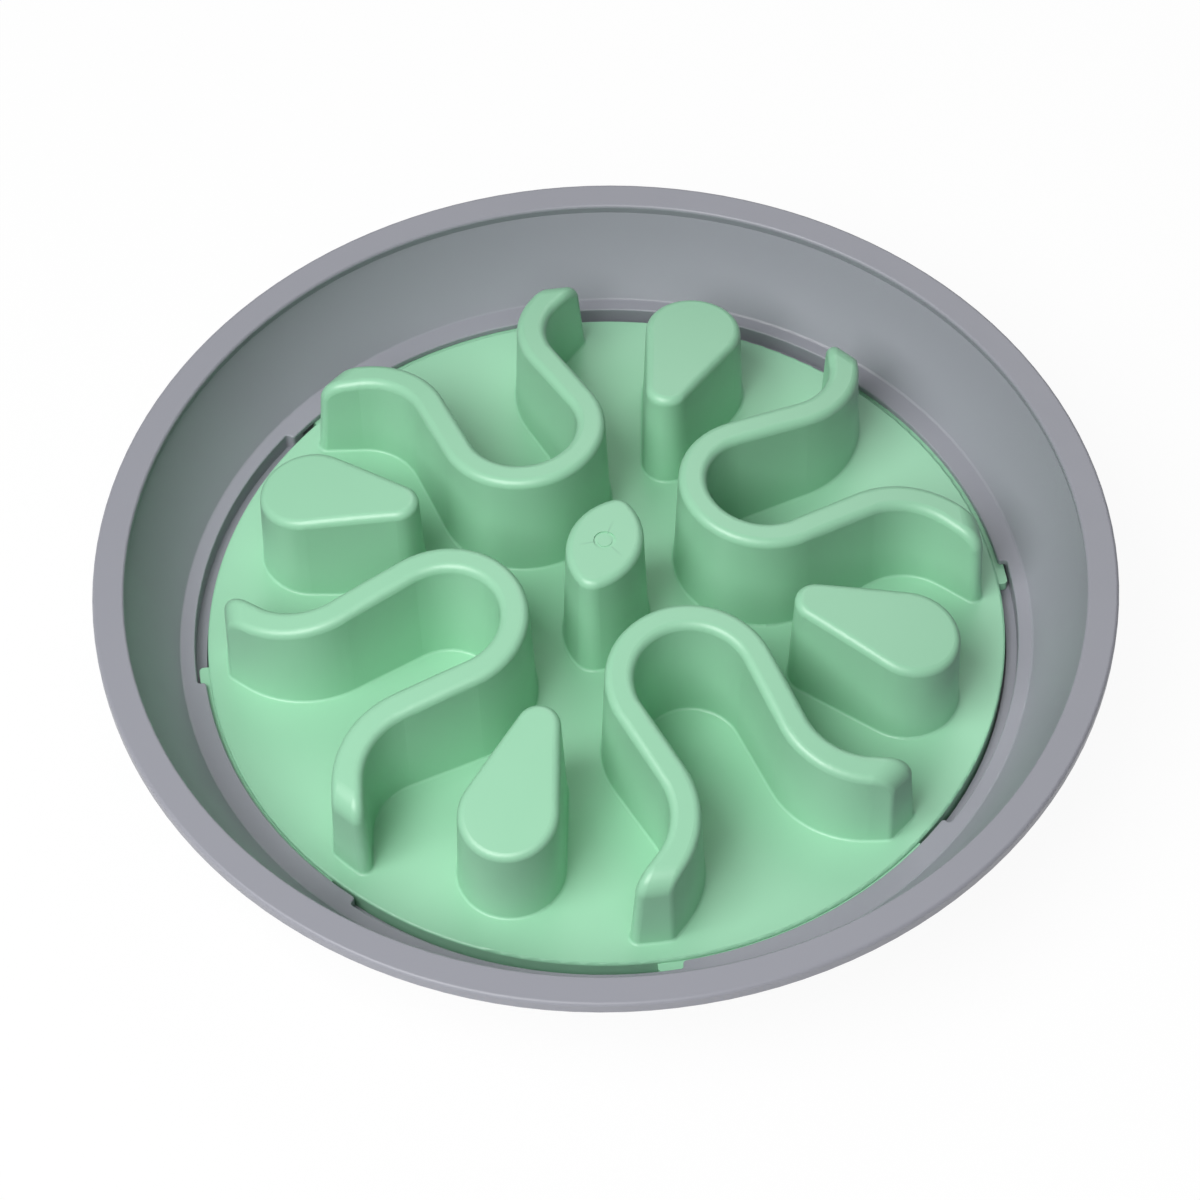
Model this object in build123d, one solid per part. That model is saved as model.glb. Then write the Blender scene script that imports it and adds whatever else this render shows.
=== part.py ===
from build123d import *
import os
from math import asin, cos, hypot, radians, sin, tan

# Slow feeder bowl: a moulded dish, a moulded maze insert that twist-locks into it, and rubber feet.
# Millimetres, +Z up. The origin is on the table under the middle of the bowl.

# One overrun for every cut, and the distance within which two places count as the same
overrun = 1.0
same_place = 0.01

# Disc of the insert, with its turned-down edge and bayonet wings
disc_radius = 95.2
disc_edge_round = 0.6
disc_inner_round = 1.2
disc_thickness = 2.2
skirt_thickness = 2.2
floor_drop = 0.8
skirt_gap = 0.5
wing_gap = 0.7
wing_sweep = 42.0
wing_angle = 45.0
wing_thickness = 2.6
wing_clearance = 0.3
wing_corner_round = 1.1

# Ledge round the disc, its four recesses and the covers that hold the insert's wings down
cover_gap = 1.0
recess_depth = 2.0
corner_limit_share = 0.45
ledge_width = 3.4
ledge_rise = 8.1
ledge_fillet = 0.8
cover_thickness = 1.5
cover_corner_round = 0.85
cover_edge_round = 0.4
cover_sweep = 43.4
cover_angle = 49.0
stop_sweep = 2.1
lock_count = 4

# Wall and rim of the bowl
wall_run = 10.8
wall_height = 23.1
wall_thickness = 2.4
wall_bow = 0.9
rim_width = 7.6
rim_thickness = 2.6
rim_lip_depth = 1.0
rim_lip_thickness = 2.2
rim_edge_round = 0.9
rim_inner_round = 0.8
rim_band_drop = 2.8
rim_overhang = 0.5
lip_end_round = 0.7
under_rim_round = 1.4

# Floor and base of the bowl
bowl_floor_thickness = 2.6
base_round = 5.0
foot_ring_inset = 8.2
foot_ring_height = 6.6
foot_ring_width = 3.2
foot_ring_gap = 1.6
foot_ring_round = 0.8

# Rubber feet in round sockets
foot_count = 4
foot_angle = 45.0
foot_inset = 10.0
foot_radius = 6.5
foot_height = 3.2
foot_edge_round = 0.8
foot_clearance = 0.1
foot_socket_wall = 2.0

# All wall tops lie on one shallow dome
post_height = 32.5
dome_radius = 400.0
draft_angle = 2.0
shell_wall = 2.2
top_round = 1.9
base_fillet = 0.7

# Omega walls, sizes at the floor: an arc round the apex, a straight leg and an arc that flares out
omega_count = 4
omega_angle = 45.0
omega_apex_centre = 42.1
omega_apex_radius = 16.5
omega_apex_turn = 93.4
omega_leg_length = 18.5
omega_flare_radius = 18.8
omega_flare_turn = 67.0
omega_half_width = 4.45
omega_end_inset = 4.8
omega_end_round = 5.8
end_round_share = 0.33

# Teardrop islands, sizes at the floor
teardrop_count = 4
teardrop_angle = 0.0
teardrop_end_inset = 9.0
teardrop_length = 22.55
teardrop_tip_radius = 6.15
teardrop_round_radius = 12.45

# Lens-shaped centre post, sizes at the floor, with the moulding gate mark on its top
post_half_length = 15.3
post_half_width = 9.95
post_tip_round = 5.2
gate_ring_radius = 2.6
gate_ring_depth = 0.35
gate_nib_radius = 1.7
gate_nib_depth = 0.15

# Radii that follow, from the disc outwards and then under the bowl
cover_radius = disc_radius + cover_gap
recess_radius = cover_radius + recess_depth
wing_radius = recess_radius - wing_gap
shelf_radius = disc_radius + skirt_gap
ledge_outer_radius = recess_radius + ledge_width
rim_inner_radius = ledge_outer_radius + wall_run
rim_radius = rim_inner_radius + rim_width
foot_ring_radius = recess_radius - foot_ring_inset
foot_circle_radius = foot_ring_radius - foot_inset
socket_radius = foot_radius + foot_clearance
omega_end_radius = disc_radius - omega_end_inset
teardrop_round_centre = disc_radius - teardrop_end_inset - teardrop_round_radius
teardrop_tip_centre = teardrop_round_centre - teardrop_length

# Heights that follow, from the table upwards
socket_floor = foot_height
bowl_underside = foot_ring_gap + foot_ring_height
bowl_floor_height = bowl_underside + bowl_floor_thickness
ledge_height = bowl_floor_height + ledge_rise
rim_height = ledge_height + wall_height
cover_underside = ledge_height - cover_thickness
wing_top = cover_underside - wing_clearance
wing_bottom = wing_top - wing_thickness
shelf_height = wing_bottom - wing_clearance
floor_height = ledge_height - floor_drop
dome_apex_height = floor_height + post_height


def around(shape, count, first_angle):
    """Copies of a shape at equal angles round the vertical axis."""
    return [Rot(0, 0, first_angle + 360 / count * i) * shape for i in range(count)]


def sector(sweep, middle_angle, radius):
    """A flat wedge that reaches past the radius, for cutting angles out of rings."""
    half = radians(sweep / 2)
    reach = (radius + overrun) / cos(half)
    wedge = Polygon((0, 0), (reach * cos(half), -reach * sin(half)), (reach * cos(half), reach * sin(half)),
                    align=None)
    return Rot(0, 0, middle_angle) * wedge


def plan_radius(edge):
    """Distance of an edge's middle from the vertical axis, seen from above."""
    middle = edge @ 0.5
    return hypot(middle.X, middle.Y)


def round_corners(face, corners):
    """Round the corners of a flat face, each near a given point by its own radius."""
    for x, y, radius in corners:
        face = fillet(face.vertices().sort_by_distance((x, y, 0))[0], radius)
    return face


def bowed(start, end, bow):
    """An arc between two points of a section, bowed to the right of the way it runs."""
    a = Vector(*start)
    b = Vector(*end)
    side = (b - a).normalized().rotate(Axis.Z, -90)
    return ThreePointArc(a, (a + b) / 2 + side * bow, b)


def bowl_section():
    """Half section of the dish, x outwards and y up."""
    wall_foot = (ledge_outer_radius, ledge_height)
    wall_head = (rim_inner_radius + rim_overhang, rim_height - rim_band_drop)
    outer_head = (rim_inner_radius + rim_overhang + wall_thickness, rim_height - rim_thickness)
    outer_foot = (ledge_outer_radius + wall_thickness, ledge_height - wall_thickness)
    body_radius = recess_radius + wall_thickness
    lip_inner_radius = rim_radius - rim_lip_thickness
    lip_end = rim_height - rim_thickness - rim_lip_depth
    ring_inner_radius = foot_ring_radius - foot_ring_width
    inside = Polyline((0, bowl_floor_height), (shelf_radius, bowl_floor_height), (shelf_radius, shelf_height),
                      (recess_radius, shelf_height), (recess_radius, ledge_height), wall_foot)
    rim = Polyline(wall_head, (rim_inner_radius, rim_height), (rim_radius, rim_height), (rim_radius, lip_end),
                   (lip_inner_radius, lip_end), (lip_inner_radius, rim_height - rim_thickness), outer_head)
    base = Polyline(outer_foot, (body_radius, ledge_height - wall_thickness), (body_radius, bowl_underside),
                    (foot_ring_radius, bowl_underside), (foot_ring_radius, foot_ring_gap),
                    (ring_inner_radius, foot_ring_gap), (ring_inner_radius, bowl_underside), (0, bowl_underside),
                    (0, bowl_floor_height))
    face = make_face([*inside.edges(), bowed(wall_foot, wall_head, wall_bow), *rim.edges(),
                      bowed(outer_head, outer_foot, -wall_bow), *base.edges()])
    return round_corners(face, [
        (recess_radius, ledge_height, cover_edge_round),
        (*wall_foot, ledge_fillet),
        (rim_inner_radius, rim_height, rim_inner_round),
        (rim_radius, rim_height, rim_edge_round),
        (rim_radius, lip_end, lip_end_round),
        (lip_inner_radius, lip_end, lip_end_round),
        (*outer_head, under_rim_round),
        (*outer_foot, under_rim_round),
        (body_radius, bowl_underside, base_round),
        (foot_ring_radius, foot_ring_gap, foot_ring_round),
        (ring_inner_radius, foot_ring_gap, foot_ring_round),
    ])


def ledge_opening():
    """The hole in the ledge: a circle with four wider recesses that the wings pass through."""
    recess_sweep = 360 / lock_count - cover_sweep
    recess_angle = cover_angle + 180 / lock_count
    recess = sector(recess_sweep, recess_angle, recess_radius) & Circle(recess_radius)
    opening = Sketch() + [Circle(cover_radius)] + around(recess, lock_count, 0)
    return fillet(opening.vertices(), min(cover_corner_round, recess_depth * corner_limit_share))


def make_bowl():
    body = revolve(Plane.XZ * bowl_section(), Axis.Z)
    lid = Circle(recess_radius + wall_thickness / 2) - ledge_opening()
    covers = Pos(0, 0, cover_underside) * extrude(lid, amount=cover_thickness)
    top_edges = covers.edges().filter_by_position(Axis.Z, ledge_height - same_place, ledge_height + same_place)
    covers = fillet(top_edges.filter_by(lambda e: plan_radius(e) < recess_radius + same_place), cover_edge_round)
    stops = Sketch() + around(sector(2 * stop_sweep, cover_angle + cover_sweep / 2, recess_radius), lock_count, 0)
    stop_height = ledge_height - cover_thickness / 2 - bowl_floor_height
    stop_blocks = Pos(0, 0, bowl_floor_height) * extrude(lid & stops, amount=stop_height)
    boss = Pos(foot_circle_radius, 0, foot_ring_gap) * extrude(Circle(socket_radius + foot_socket_wall),
                                                              amount=bowl_underside - foot_ring_gap + overrun)
    socket = Pos(foot_circle_radius, 0, 0) * extrude(Circle(socket_radius), amount=socket_floor)
    bowl = body + covers + stop_blocks + around(boss, foot_count, foot_angle)
    return bowl - around(socket, foot_count, foot_angle)


def make_foot():
    pad = extrude(Circle(foot_radius), amount=foot_height)
    return fillet(pad.edges().sort_by(Axis.Z)[0], foot_edge_round)


def omega_outline(inset):
    """Plan of one omega wall along +X, open outwards, with tails that run past the disc."""
    half_width = omega_half_width - inset
    sides = []
    for offset in (half_width, -half_width):
        apex = JernArc((omega_apex_centre - omega_apex_radius - offset, 0), (0, 1), omega_apex_radius + offset,
                       -omega_apex_turn)
        leg = PolarLine(apex @ 1, omega_leg_length, direction=apex % 1)
        flare = JernArc(leg @ 1, leg % 1, omega_flare_radius - offset, omega_flare_turn)
        tail = PolarLine(flare @ 1, disc_radius, direction=flare % 1)
        sides.append([apex, leg, flare, tail])
    outer, inner = sides
    ends = [Line(outer[0] @ 0, inner[0] @ 0), Line(outer[-1] @ 1, inner[-1] @ 1)]
    half = make_face([edge for piece in inner + ends + outer for edge in piece.edges()])
    return half + mirror(half, about=Plane.XZ)


def teardrop_outline(inset):
    """Plan of one teardrop island along +X: two arcs and their common tangents, its tip towards the middle."""
    tip_radius = teardrop_tip_radius - inset
    head_radius = teardrop_round_radius - inset
    lean = asin((head_radius - tip_radius) / (teardrop_round_centre - teardrop_tip_centre))
    tip = Vector(teardrop_tip_centre - tip_radius * sin(lean), tip_radius * cos(lean))
    head = Vector(teardrop_round_centre - head_radius * sin(lean), head_radius * cos(lean))
    tip_below = Vector(tip.X, -tip.Y)
    head_below = Vector(head.X, -head.Y)
    return make_face([Line(tip_below, head_below),
                      ThreePointArc(head_below, (teardrop_round_centre + head_radius, 0), head),
                      Line(head, tip),
                      ThreePointArc(tip, (teardrop_tip_centre - tip_radius, 0), tip_below)])


def post_outline(inset):
    """Plan of the centre post: the lens where two circles cross, its rounded points along Y."""
    arc_radius = (post_half_length ** 2 + post_half_width ** 2) / (2 * post_half_width)
    shift = arc_radius - post_half_width
    lens = (Pos(shift, 0) * Circle(arc_radius - inset)) & (Pos(-shift, 0) * Circle(arc_radius - inset))
    return fillet(lens.vertices(), post_tip_round - inset)


def dome(depth):
    """The ball that bounds the wall tops, or the hollow a given depth under them."""
    return Pos(0, 0, dome_apex_height - dome_radius) * Sphere(dome_radius - depth)


def omega_bounds(depth, shoulder_round):
    """The turned shape that bounds the omega walls: the dome, a round shoulder and leaning ends."""
    bottom = floor_height - disc_thickness - overrun
    top = dome_apex_height + overrun
    end_radius = omega_end_radius - depth
    lean = (top - bottom) * tan(radians(draft_angle))
    block = Polygon((0, bottom), (end_radius, bottom), (end_radius - lean, top), (0, top), align=None)
    section = block & Pos(0, dome_apex_height - dome_radius) * Circle(dome_radius - depth)
    shoulder = section.vertices().sort_by_distance((end_radius, top, 0))[0]
    section = fillet(shoulder, shoulder_round) if shoulder_round else section
    return revolve(Plane.XZ * section, Axis.Z)


def drafted(outline, inset, bottom):
    """A wall that stands on an inset outline, tapers upwards and ends above the dome."""
    top = dome_apex_height + overrun
    lean = (top - bottom) * tan(radians(draft_angle))
    return loft([Pos(0, 0, bottom) * outline(inset), Pos(0, 0, top) * outline(inset + lean)], ruled=True)


def is_level(edge):
    """True for an edge that stays at one height."""
    heights = [(edge @ share).Z for share in (0, 0.5, 1)]
    return max(heights) - min(heights) < same_place


def ridge(outline, bounds, edge_round):
    """A solid wall inside its bounds, with soft edges where its sides meet its top and ends."""
    wall = drafted(outline, 0, floor_height - disc_thickness / 2) & bounds
    straight = (GeomType.LINE, GeomType.BEZIER)
    soft = wall.edges().filter_by(lambda edge: edge.geom_type not in straight and not is_level(edge))
    return fillet(soft, edge_round)


def hollow(outline, bounds):
    """The space under a wall, open below."""
    return drafted(outline, shell_wall, floor_height - disc_thickness - same_place) & bounds


def make_disc():
    inner_radius = disc_radius - skirt_thickness
    underside = floor_height - disc_thickness
    section = make_face(Polyline((0, floor_height), (disc_radius, floor_height), (disc_radius, bowl_floor_height),
                                 (inner_radius, bowl_floor_height), (inner_radius, underside), (0, underside),
                                 close=True))
    section = round_corners(section, [(disc_radius, floor_height, disc_edge_round),
                                      (inner_radius, underside, disc_inner_round)])
    disc = revolve(Plane.XZ * section, Axis.Z)
    ring = Circle(wing_radius) - Circle(disc_radius - skirt_thickness / 2)
    wing = ring & sector(wing_sweep, 0, wing_radius)
    wing = fillet(wing.vertices().filter_by(lambda v: Vector(v).length > wing_radius - same_place),
                  wing_corner_round)
    wing = Pos(0, 0, wing_bottom) * extrude(wing, amount=wing_thickness)
    return disc + around(wing, lock_count, wing_angle)


def make_insert():
    omega_round = min(top_round, end_round_share * omega_end_round)
    omega = ridge(omega_outline, omega_bounds(0, omega_end_round), omega_round)
    walls = around(omega, omega_count, omega_angle)
    walls += around(ridge(teardrop_outline, dome(0), top_round), teardrop_count, teardrop_angle)
    walls += [ridge(post_outline, dome(0), top_round)]
    hollows = around(hollow(omega_outline, omega_bounds(shell_wall, 0)), omega_count, omega_angle)
    hollows += around(hollow(teardrop_outline, dome(shell_wall)), teardrop_count, teardrop_angle)
    hollows += [hollow(post_outline, dome(shell_wall))]
    insert = make_disc() + walls
    on_floor = insert.edges().filter_by_position(Axis.Z, floor_height - same_place, floor_height + same_place)
    edge_circle = disc_radius - disc_edge_round
    insert = fillet(on_floor.filter_by(lambda e: plan_radius(e) < edge_circle - same_place), base_fillet)
    gate = Pos(0, 0, dome_apex_height - gate_ring_depth) * extrude(Circle(gate_ring_radius), amount=overrun)
    nib_height = gate_ring_depth - gate_nib_depth
    nib = Pos(0, 0, dome_apex_height - gate_ring_depth) * extrude(Circle(gate_nib_radius), amount=nib_height)
    return insert - hollows - (gate - nib)


os.makedirs("parts", exist_ok=True)
export_step(make_bowl(), "parts/bowl.step")
export_step(make_insert(), "parts/maze_insert.step")
for number, foot in enumerate(around(Pos(foot_circle_radius, 0, 0) * make_foot(), foot_count, foot_angle), 1):
    export_step(foot, f"parts/foot_{number}.step")
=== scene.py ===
from math import pi, radians

import bpy
from mathutils import Matrix, Vector

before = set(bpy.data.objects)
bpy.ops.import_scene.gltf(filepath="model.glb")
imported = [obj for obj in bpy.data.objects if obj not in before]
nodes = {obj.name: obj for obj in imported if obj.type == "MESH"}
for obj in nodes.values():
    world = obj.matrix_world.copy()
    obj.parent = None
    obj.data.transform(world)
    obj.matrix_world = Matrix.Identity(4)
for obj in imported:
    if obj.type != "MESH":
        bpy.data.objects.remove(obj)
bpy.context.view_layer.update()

# Metres throughout, but for the camera's lens and sensor, which are in millimetres.

# The photograph's view: where the camera looks, from which side and how far away
view_aim = Vector((0.0017, -0.0096, 0.0403))
view_azimuth = radians(18.0)
view_elevation = radians(53.33)
view_roll = radians(-1.17)
view_distance = 0.9113
view_lens = 117.3
view_sensor = 36.0

# Linear colours
bowl_colour = (0.295, 0.300, 0.339)
insert_colour = (0.315, 0.625, 0.418)
rubber_colour = (0.035, 0.036, 0.038)
stage_colour = (0.90, 0.90, 0.90)
white = (1.0, 1.0, 1.0)

# Unevenness that all the mouldings share: the part of a noise that is used, its detail, and the gloss
noise_low = 0.3
noise_high = 0.7
tint_detail = 3.0
gloss_detail = 3.0
grain_detail = 2.0
wave_detail = 1.0
gloss_spread = 0.03
gloss_patches_per_wave = 3

# Painted shade along the faint flow lines round the moulding gate on the post's top
flow_count = 3
flow_angle = radians(88.0)
flow_sharpness = 0.97
flow_start = 0.0022
flow_end = 0.0065
painted_flow_shade = 0.82

# Floor, and the share of it that shows as plain white
stage_size = 12.0
stage_height = 0.0
stage_roughness = 0.9
stage_white_share = 0.94

# Softboxes, and the even light from all round
softbox_size = 1.0
softbox_distance = 1.5
fill_strength = 0.03


def rgba(colour, factor=1.0):
    """A colour with its alpha, made lighter or darker by a factor."""
    return (*[channel * factor for channel in colour], 1)


def new_material(name):
    """A new material, with its node tree and its Principled shader."""
    material = bpy.data.materials.new(name)
    material.use_nodes = True
    tree = material.node_tree
    return material, tree, tree.nodes["Principled BSDF"]


def add(tree, kind, **settings):
    """A node of a kind, with its properties and its input values set by name."""
    node = tree.nodes.new(kind)
    for key, value in settings.items():
        if key in node.inputs:
            node.inputs[key].default_value = value
        else:
            setattr(node, key, value)
    return node


def noise(tree, place, size, detail):
    """Noise whose features are about the given size."""
    texture = add(tree, "ShaderNodeTexNoise", Scale=1.0 / size, Detail=detail)
    tree.links.new(place.outputs["Object"], texture.inputs["Vector"])
    return texture.outputs["Fac"]


def remap(tree, value, from_low, from_high, to_low=0.0, to_high=1.0):
    """Stretch one range of values over another, and clamp what lies outside."""
    node = add(tree, "ShaderNodeMapRange")
    node.inputs["From Min"].default_value = from_low
    node.inputs["From Max"].default_value = from_high
    node.inputs["To Min"].default_value = to_low
    node.inputs["To Max"].default_value = to_high
    tree.links.new(value, node.inputs["Value"])
    return node.outputs["Result"]


def combine(tree, operation, *values):
    """One step of arithmetic on sockets and numbers."""
    node = add(tree, "ShaderNodeMath", operation=operation)
    for socket, value in zip(node.inputs, values):
        if isinstance(value, (int, float)):
            socket.default_value = value
        else:
            tree.links.new(value, socket)
    return node.outputs["Value"]


def bump(tree, height, depth, below=None):
    """A bump of the given depth, on top of another bump if there is one."""
    node = add(tree, "ShaderNodeBump", Distance=depth)
    tree.links.new(height, node.inputs["Height"])
    if below:
        tree.links.new(below, node.inputs["Normal"])
    return node.outputs["Normal"]


def moulded(name, colour, tint, roughness, grain_size, grain_depth, wave_size, wave_depth):
    """A moulded surface: a fine grain, a slow waviness, and slightly uneven colour and gloss."""
    material, tree, shader = new_material(name)
    place = add(tree, "ShaderNodeTexCoord")
    mix = add(tree, "ShaderNodeMix", data_type="RGBA")
    mix.inputs["A"].default_value = rgba(colour, 1 - tint)
    mix.inputs["B"].default_value = rgba(colour, 1 + tint)
    tree.links.new(noise(tree, place, wave_size, tint_detail), mix.inputs["Factor"])
    tree.links.new(mix.outputs["Result"], shader.inputs["Base Color"])
    patches = noise(tree, place, wave_size / gloss_patches_per_wave, gloss_detail)
    gloss = remap(tree, patches, noise_low, noise_high, roughness - gloss_spread, roughness + gloss_spread)
    tree.links.new(gloss, shader.inputs["Roughness"])
    grain = bump(tree, noise(tree, place, grain_size, grain_detail), grain_depth)
    waves = bump(tree, noise(tree, place, wave_size, wave_detail), wave_depth, grain)
    tree.links.new(waves, shader.inputs["Normal"])
    return material


def painted_flow_line_shade(material):
    """Painted shade: faint darker lines in the colour, along the flow lines that run out from the moulding
    gate at the middle.
    """
    tree = material.node_tree
    place = add(tree, "ShaderNodeTexCoord")
    split = add(tree, "ShaderNodeSeparateXYZ")
    tree.links.new(place.outputs["Object"], split.inputs["Vector"])
    x = split.outputs["X"]
    y = split.outputs["Y"]
    squares = combine(tree, "ADD", combine(tree, "MULTIPLY", x, x), combine(tree, "MULTIPLY", y, y))
    far = combine(tree, "SQRT", squares)
    turn = combine(tree, "SUBTRACT", combine(tree, "ARCTAN2", y, x), flow_angle)
    wave = combine(tree, "COSINE", combine(tree, "MULTIPLY", turn, flow_count))
    line = remap(tree, wave, flow_sharpness, 1.0)
    fade = remap(tree, far, flow_end, flow_start)
    outside = combine(tree, "GREATER_THAN", far, flow_start)
    painted_shade_mask = combine(tree, "MULTIPLY", combine(tree, "MULTIPLY", line, fade), outside)
    base = tree.nodes["Principled BSDF"].inputs["Base Color"]
    # Painted shade: the colour is darkened along the flow lines, standing in for the shade of their slight
    # relief
    shade = add(tree, "ShaderNodeMix", data_type="RGBA", blend_type="MULTIPLY")
    shade.inputs["B"].default_value = rgba(white, painted_flow_shade)
    tree.links.new(base.links[0].from_socket, shade.inputs["A"])
    tree.links.new(painted_shade_mask, shade.inputs["Factor"])
    tree.links.new(shade.outputs["Result"], base)


def set_material(node, material):
    """Give a CAD piece one material all over."""
    slots = nodes[node].material_slots
    for slot in slots:
        slot.material = material
    if not slots:
        nodes[node].data.materials.append(material)


def dress():
    """Satin grey and green plastic, the grey a little duller, and matt black rubber."""
    grey = moulded("bowl_plastic", bowl_colour, tint=0.012, roughness=0.40,
                   grain_size=0.0005, grain_depth=0.000005, wave_size=0.03, wave_depth=0.00002)
    green = moulded("insert_plastic", insert_colour, tint=0.012, roughness=0.34,
                    grain_size=0.0005, grain_depth=0.000004, wave_size=0.03, wave_depth=0.00002)
    painted_flow_line_shade(green)
    rubber = moulded("foot_rubber", rubber_colour, tint=0.05, roughness=0.75,
                     grain_size=0.0006, grain_depth=0.00004, wave_size=0.01, wave_depth=0.00002)
    set_material("bowl", grey)
    set_material("maze_insert", green)
    for name in nodes:
        if name.startswith("foot_"):
            set_material(name, rubber)


def add_stage():
    """A pale floor that is nearly white to the camera and in reflections, and keeps a soft shadow."""
    bpy.ops.mesh.primitive_plane_add(size=stage_size, location=(0, 0, stage_height))
    floor = bpy.context.object
    floor.name = "studio_floor"
    material, tree, shader = new_material("studio_white")
    shader.inputs["Base Color"].default_value = rgba(stage_colour)
    shader.inputs["Roughness"].default_value = stage_roughness
    path = add(tree, "ShaderNodeLightPath")
    glow = add(tree, "ShaderNodeEmission", Color=rgba(white), Strength=1.0)
    seen = combine(tree, "MAXIMUM", path.outputs["Is Camera Ray"], path.outputs["Is Glossy Ray"])
    mix = add(tree, "ShaderNodeMixShader")
    tree.links.new(combine(tree, "MULTIPLY", seen, stage_white_share), mix.inputs["Fac"])
    tree.links.new(shader.outputs[0], mix.inputs[1])
    tree.links.new(glow.outputs[0], mix.inputs[2])
    tree.links.new(mix.outputs[0], tree.nodes["Material Output"].inputs["Surface"])
    floor.data.materials.append(material)


def facing_middle(azimuth, elevation):
    """The turn of a camera or lamp that looks at the middle from a side and a height, both angles."""
    return Matrix.Rotation(azimuth, 4, "Z") @ Matrix.Rotation(pi / 2 - elevation, 4, "X")


def add_light(name, side, height, watts):
    """A square softbox that points at the bowl, in degrees from the camera's side and above the floor."""
    data = bpy.data.lights.new(name, "AREA")
    data.shape = "SQUARE"
    data.size = softbox_size
    data.energy = watts
    lamp = bpy.data.objects.new(name, data)
    bpy.context.scene.collection.objects.link(lamp)
    turn = facing_middle(view_azimuth + radians(side), radians(height))
    lamp.matrix_world = turn @ Matrix.Translation((0, 0, softbox_distance))


def add_lights():
    """A key light from the left, a weaker one near the camera, one from behind, and an even white world."""
    add_light("softbox_key", side=-47, height=55, watts=21.5)
    add_light("softbox_front", side=-12, height=52, watts=6.0)
    add_light("softbox_back", side=165, height=45, watts=4.5)
    world = bpy.data.worlds.new("studio")
    bpy.context.scene.world = world
    world.use_nodes = True
    background = world.node_tree.nodes["Background"]
    background.inputs["Color"].default_value = rgba(white)
    background.inputs["Strength"].default_value = fill_strength


def add_camera():
    """The photograph's camera."""
    data = bpy.data.cameras.new("photo_camera")
    data.sensor_fit = "HORIZONTAL"
    data.sensor_width = view_sensor
    data.lens = view_lens
    camera = bpy.data.objects.new("photo_camera", data)
    bpy.context.scene.collection.objects.link(camera)
    turn = facing_middle(view_azimuth, view_elevation)
    away = turn @ Vector((0, 0, view_distance))
    camera.matrix_world = Matrix.Translation(view_aim + away) @ turn @ Matrix.Rotation(view_roll, 4, "Z")
    bpy.context.scene.camera = camera


dress()
add_stage()
add_lights()
add_camera()
bpy.context.scene.view_settings.view_transform = "Standard"
